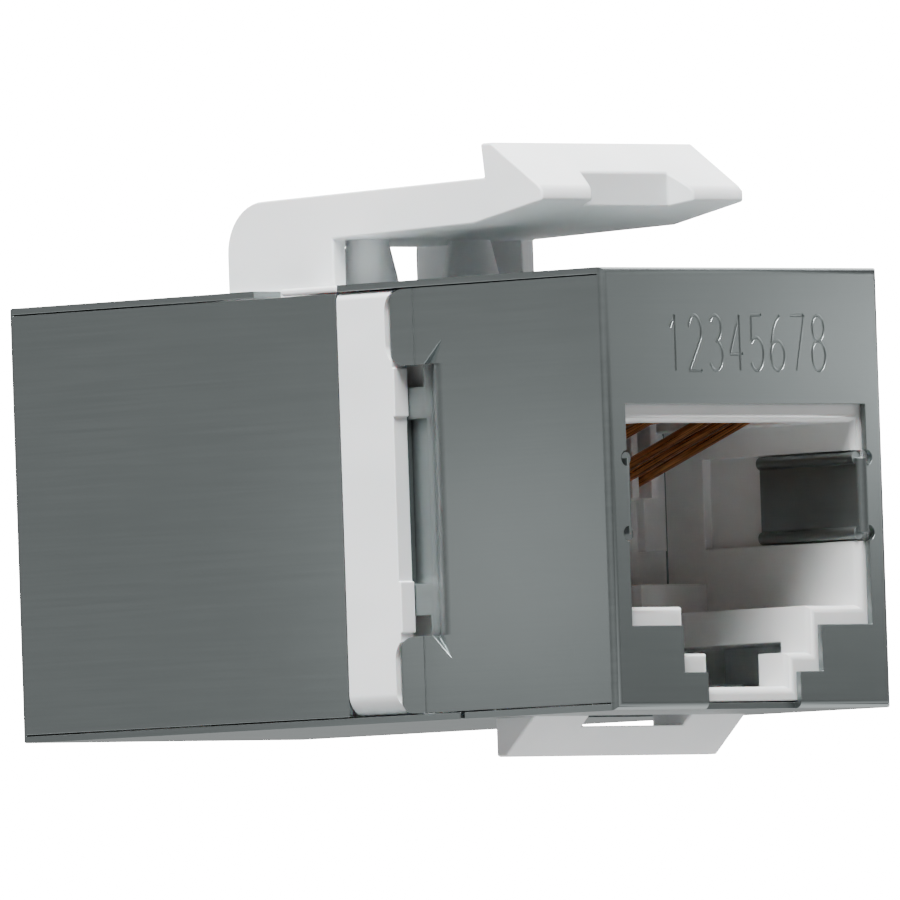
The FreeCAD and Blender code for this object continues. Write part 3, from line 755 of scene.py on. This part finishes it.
def wireTube(name, end, number):
    # A circle carried along the wire's line, which lies in one upright plane: a level
    # run, an arc round the joint's place, and a sloping run that ends in a half ball.
    lead = boxOf["%s_lead_%d" % (end, number)]
    finger = boxOf["%s_contact_%d" % (end, number)]
    centre = jointPlace[end + "_contact_flex"]
    away = 1 if end == "front" else -1         # towards the board
    radius = wireSettings["across"] / 2 * mm
    half = (lead[1].x - lead[0].x) / 2
    x = (lead[0].x + lead[1].x) / 2
    bend = lead[1].z - half - centre.z
    board = abs((lead[1].y if away > 0 else lead[0].y) - centre.y)
    tipY = abs((finger[1].y if away > 0 else finger[0].y) - centre.y)
    tipZ = centre.z - finger[0].z - half
    reach = math.hypot(tipY, tipZ)
    slope = math.atan2(tipZ, tipY) - math.asin(bend / reach)
    run = math.sqrt(reach ** 2 - bend ** 2)
    turn = np.linspace(0, math.pi - slope, wireSettings["bendSteps"])
    taper = np.linspace(0, math.pi / 2, wireSettings["tipSteps"])
    along = run - radius * (1 - np.sin(taper))
    # distance from the joint's place towards the board, height over it, and heading
    y = np.concatenate([[board], -bend * np.sin(turn),
                        -bend * math.sin(slope) + along * math.cos(slope)])
    z = np.concatenate([[0], -bend * (1 - np.cos(turn)),
                        -bend * (1 + math.cos(slope)) - along * math.sin(slope)]) + bend
    heading = np.concatenate([[math.pi], math.pi + turn,
                              np.full(len(taper), 2 * math.pi - slope)])
    size = np.concatenate([np.full(1 + len(turn), radius), radius * np.cos(taper)])
    size[-1] = radius * wireSettings["tipEnd"]
    angle = np.linspace(0, 2 * math.pi, wireSettings["roundSteps"], endpoint=False)
    out = size[:, None] * np.cos(angle)
    rise = size[:, None] * np.sin(angle)
    points = np.stack([x + out + 0 * rise,
                       centre.y + away * (y[:, None] - rise * np.sin(heading)[:, None]),
                       centre.z + z[:, None] + rise * np.cos(heading)[:, None]], 2)
    mesh = ringMesh(name, points)
    mesh.polygons.foreach_set("use_smooth", np.ones(len(mesh.polygons), bool))
    # where each point lies round the wire, and how far along it in millimetres
    step = np.linalg.norm(np.diff(points[:, 0], axis=0), axis=1)
    distance = np.concatenate([[0], np.cumsum(step)]) / mm
    bearing, far = np.broadcast_arrays(angle, distance[:, None])
    far = far + wireSettings["lineStep"] * number
    line = np.stack([np.cos(bearing), np.sin(bearing), far], 2).reshape(-1)
    mesh.attributes.new("wireLine", "FLOAT_VECTOR", "POINT").data.foreach_set("vector", line)
    return linkPiece(name, mesh)


for end in ("front", "rear"):
    for number in range(1, 9):
        wire = wireTube("%s_wire_%d" % (end, number), end, number)
        finishPiece(wire, bronze, "contact_wire", "%s_lead_%d" % (end, number),
                    "%s_contact_%d" % (end, number))
        middle = jointPlace[end + "_contact_flex"]
        half = Vector((0, 0, wireSettings["flexHalf"] * mm))
        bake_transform(wire, "root", end + "_contacts", start=middle + half, end=middle - half)


# Stage: floor, lights, sky and camera

stageSettings = {
    "floorDrop": 36,             # millimetres below the origin
    "floorHalf": 900,
    "floorColour": "#B4B5B5", "floorRoughness": 0.9,
    "floorGlow": 1.9,
    "skyLevels": (               # height from straight down to straight up, and level there
        (-1.0, 2.9), (-0.45, 0.9), (-0.12, 0.1), (0.12, 0.06), (0.5, 0.1), (1.0, 0.25)),
    "backdrop": 18.0,
    "softboxes": [               # place and aim in mm, size in mm, watts
        ("topSoftbox", (-190, -80, 395), (0, 12, 0), 240, 9.0),
        ("rearSoftbox", (260, 190, 350), (0, 12, 0), 300, 1.6),
        ("leftSoftbox", (-300, 330, -20), (-7, 15, 2), 260, 0.078),
        ("backSoftbox", (60, 430, -10), (-7, 9, 0), 240, 0.12),
        ("rightSoftbox", (230, -260, 120), (0, 0, 4), 160, 0.10),
        ("sideCard", (-26, 22, -2), (-7, 6, 1), 9, 0.00027),
        ("portCard", (32, -20, 6), (8, 0, 6), 7, 0.0010),
    ],
}


def buildFloor(settings):
    # a pale square that glows a little and doesn't mirror in the object
    half, z = settings["floorHalf"] * mm, -settings["floorDrop"] * mm
    mesh = bpy.data.meshes.new("floor")
    mesh.from_pydata([(-half, -half, z), (half, -half, z), (half, half, z), (-half, half, z)],
                     [], [(0, 1, 2, 3)])
    floor = linkPiece("floor", mesh)
    material, tree = newMaterial("floorPaint")[:2]
    paint = addNode(tree, "ShaderNodeBsdfPrincipled",
                    {"Base Color": linearColour(settings["floorColour"]),
                     "Roughness": settings["floorRoughness"],
                     "Emission Color": linearColour("#FFFFFF"),
                     "Emission Strength": settings["floorGlow"]})
    clear = addNode(tree, "ShaderNodeBsdfTransparent")     # seen from below, the floor is clear
    below = addNode(tree, "ShaderNodeNewGeometry").outputs["Backfacing"]
    sides = addNode(tree, "ShaderNodeMixShader",
                    {0: below, 1: paint.outputs[0], 2: clear.outputs[0]})
    addNode(tree, "ShaderNodeOutputMaterial", {"Surface": sides.outputs[0]})
    mesh.materials.append(material)
    floor.visible_diffuse = False
    floor.visible_glossy = False


def buildSky(settings):
    # grey sky with its own level at each height; only the camera sees the white backdrop
    world = bpy.data.worlds.new("sky")
    bpy.context.scene.world = world
    world.use_nodes = True
    tree = world.node_tree
    tree.nodes.clear()
    direction = addNode(tree, "ShaderNodeTexCoord").outputs["Generated"]
    height = addNode(tree, "ShaderNodeSeparateXYZ", {"Vector": direction}).outputs["Z"]
    ramp = addNode(tree, "ShaderNodeValToRGB", {"Fac": spread(tree, height, -1, 1, 0, 1)})
    levels = settings["skyLevels"]
    while len(ramp.color_ramp.elements) < len(levels):
        ramp.color_ramp.elements.new(0.5)
    for element, (place, level) in zip(ramp.color_ramp.elements, levels):
        element.position = (place + 1) / 2
        element.color = (level, level, level, 1)
    soft = addNode(tree, "ShaderNodeBackground",
                   {"Color": ramp.outputs["Color"], "Strength": 1.0})
    white = addNode(tree, "ShaderNodeBackground",
                    {"Color": linearColour("#FFFFFF"), "Strength": settings["backdrop"]})
    seen = addNode(tree, "ShaderNodeLightPath").outputs["Is Camera Ray"]
    mix = addNode(tree, "ShaderNodeMixShader", {0: seen, 1: soft.outputs[0], 2: white.outputs[0]})
    addNode(tree, "ShaderNodeOutputWorld", {"Surface": mix.outputs[0]})


def buildLights(settings):
    for name, place, aim, size, watts in settings["softboxes"]:
        lamp = bpy.data.lights.new(name, "AREA")
        lamp.shape = "SQUARE"
        lamp.size = size * mm
        lamp.energy = watts
        softbox = linkPiece(name, lamp)
        softbox.location = Vector(place) * mm
        towards = (Vector(aim) - Vector(place)) * mm
        softbox.rotation_euler = towards.to_track_quat("-Z", "Y").to_euler()


cameraSettings = {
    "turn": -44.894, "rise": -1.81, "roll": -1.929,      # degrees
    "distance": 1075.1, "lens": 1159.0, "sensor": 36.0,  # millimetres
    "aim": (0, 10, -0.15),
    "aimRight": -3.96, "aimUp": 2.004,       # moves the aim in the camera's own plane
    "clip": (50, 20000),
}


def buildCamera(settings):
    turn, rise, roll = (math.radians(settings[key]) for key in ("turn", "rise", "roll"))
    back = Vector((math.sin(turn) * math.cos(rise), -math.cos(turn) * math.cos(rise),
                   math.sin(rise)))
    lens = bpy.data.cameras.new("camera")
    lens.lens = settings["lens"]
    lens.sensor_width = settings["sensor"]
    lens.clip_start, lens.clip_end = (distance * mm for distance in settings["clip"])
    camera = linkPiece("camera", lens)
    side = (-back).cross(Vector((0, 0, 1))).normalized()
    upward = side.cross(-back)
    right = math.cos(roll) * side + math.sin(roll) * upward
    top = math.cos(roll) * upward - math.sin(roll) * side
    centre = Vector(settings["aim"]) + settings["aimRight"] * right + settings["aimUp"] * top
    place = (centre + settings["distance"] * back) * mm
    basis = [[right[i], top[i], back[i], place[i]] for i in range(3)] + [[0, 0, 0, 1]]
    camera.matrix_world = Matrix(basis)
    bpy.context.scene.camera = camera


buildFloor(stageSettings)
buildSky(stageSettings)
buildLights(stageSettings)
buildCamera(cameraSettings)
print("stage ready")
